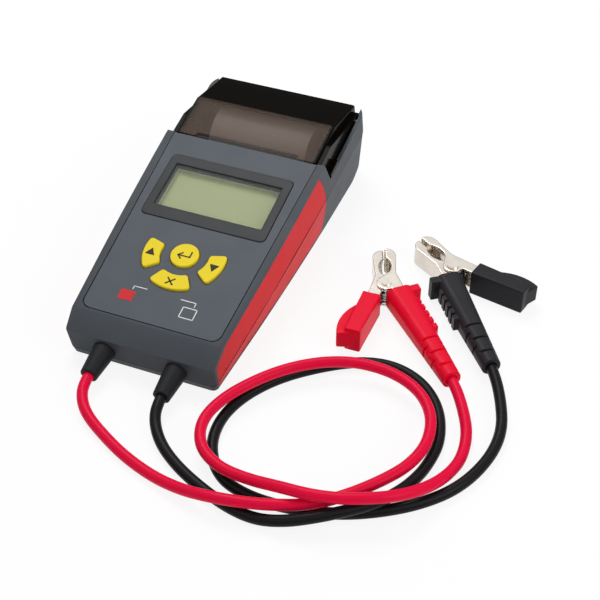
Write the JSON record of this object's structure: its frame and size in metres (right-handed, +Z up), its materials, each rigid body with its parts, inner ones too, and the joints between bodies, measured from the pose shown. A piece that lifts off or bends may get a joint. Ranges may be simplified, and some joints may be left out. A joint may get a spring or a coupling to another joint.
{
  "type": "handheld battery tester",
  "caption": "Wedge-shaped handheld battery tester with display, keypad and built-in thermal printer under a smoked cover, and test leads that end in spring clips.",
  "frame": {"origin": "on the flat base of the case, on its middle plane, 102.3 mm behind the lower edge of the nose", "axes": "+Z up from the base, +Y from the nose towards the printer, +X to the right of the user"},
  "size_m": [0.2241, 0.2679, 0.0553],
  "materials": {
    "case": "satin",
    "panel": "satin",
    "bezel": "gloss",
    "window": "clear",
    "inner_plastic": "matt",
    "lcd": "satin",
    "board": "satin",
    "mat": "matt",
    "key": "matt",
    "trim": "satin",
    "steel": "brushed",
    "boot": "matt",
    "red_cable": "satin",
    "black_cable": "satin",
    "smoked": "gloss",
    "paper": "matt",
    "head": "satin",
    "gear": "satin",
    "nickel": "bright",
    "red_grip": "satin",
    "black_grip": "satin"
  },
  "bodies": {
    "body": {"upper_case": "case", "lower_case": "case", "front_panel": "panel", "display_bezel": "bezel", "display_window": "window", "lcd_frame": "inner_plastic", "lcd_panel": "lcd", "main_board": "board", "keypad_mat": "mat", "left_trim_upper": "trim", "left_trim_lower": "trim", "right_trim_upper": "trim", "right_trim_lower": "trim", "case_screws": "steel", "red_lead_boot": "boot", "black_lead_boot": "boot", "red_lead": "red_cable", "black_lead": "black_cable", "cover_hinge_pins": "steel", "paper_cradle": "inner_plastic", "printer_frame": "steel", "thermal_head": "head", "feed_motor": "steel", "red_clip_fixed_jaw": "nickel", "red_clip_rivet": "nickel", "red_clip_spring": "nickel", "red_clip_sleeve": "red_grip", "black_clip_fixed_jaw": "nickel", "black_clip_rivet": "nickel", "black_clip_spring": "nickel", "black_clip_sleeve": "black_grip"},
    "printer_cover": {"printer_cover": "smoked"},
    "paper": {"paper_roll": "paper", "paper_core": "paper"},
    "platen": {"platen_shaft": "steel", "platen_roller": "mat", "platen_gear": "gear"},
    "idler": {"idler_gear": "gear"},
    "pinion": {"motor_pinion": "gear"},
    "enter_key": {"enter_button": "key"},
    "escape_key": {"escape_button": "key"},
    "up_key": {"up_button": "key"},
    "down_key": {"down_button": "key"},
    "red_clip_lever": {"red_clip_moving_jaw": "nickel", "red_clip_grip": "red_grip"},
    "black_clip_lever": {"black_clip_moving_jaw": "nickel", "black_clip_grip": "black_grip"}
  },
  "joints": [
    {"name": "cover_hinge", "type": "hinge", "parent": "body", "child": "printer_cover", "pos_m": [0, 0.0875, 0.04195], "axis": [1, 0, 0], "range_deg": [-75, 0]},
    {"name": "paper_spin", "type": "hinge", "parent": "body", "child": "paper", "pos_m": [0, 0.06115, 0.03124], "axis": [1, 0, 0], "continuous": true},
    {"name": "platen_spin", "type": "hinge", "parent": "body", "child": "platen", "pos_m": [0, 0.03065, 0.03764], "axis": [1, 0, 0], "continuous": true},
    {"name": "idler_spin", "type": "hinge", "parent": "body", "child": "idler", "pos_m": [0, 0.0334, 0.02472], "axis": [1, 0, 0], "continuous": true},
    {"name": "pinion_spin", "type": "hinge", "parent": "body", "child": "pinion", "pos_m": [0, 0.03552, 0.01475], "axis": [1, 0, 0], "continuous": true},
    {"name": "enter_press", "type": "slide", "parent": "body", "child": "enter_key", "axis": [0, 0.2079, -0.9781], "range_m": [0, 0.001], "stiffness_N_per_m": 1200, "springref_m": -0.0005},
    {"name": "escape_press", "type": "slide", "parent": "body", "child": "escape_key", "axis": [0, 0.2079, -0.9781], "range_m": [0, 0.001], "stiffness_N_per_m": 1200, "springref_m": -0.0005},
    {"name": "up_press", "type": "slide", "parent": "body", "child": "up_key", "axis": [0, 0.2079, -0.9781], "range_m": [0, 0.001], "stiffness_N_per_m": 1200, "springref_m": -0.0005},
    {"name": "down_press", "type": "slide", "parent": "body", "child": "down_key", "axis": [0, 0.2079, -0.9781], "range_m": [0, 0.001], "stiffness_N_per_m": 1200, "springref_m": -0.0005},
    {"name": "red_clip_pivot", "type": "hinge", "parent": "body", "child": "red_clip_lever", "pos_m": [0.0944, -0.0053, 0.0074], "axis": [0, 0, 1], "range_deg": [0, 20], "stiffness_Nm_per_rad": 1.2, "springref_deg": -20.05, "deforming": ["red_clip_spring"]},
    {"name": "black_clip_pivot", "type": "hinge", "parent": "body", "child": "black_clip_lever", "pos_m": [0.1224, 0.0204, 0.0074], "axis": [0, 0, -1], "range_deg": [0, 20], "stiffness_Nm_per_rad": 1.2, "springref_deg": -20.05, "deforming": ["black_clip_spring"]}
  ],
  "couplings": [
    {"joint": "idler_spin", "follows": "platen_spin", "ratio": -0.83333},
    {"joint": "pinion_spin", "follows": "platen_spin", "ratio": 2},
    {"joint": "paper_spin", "follows": "platen_spin", "ratio": -0.26471}
  ]
}
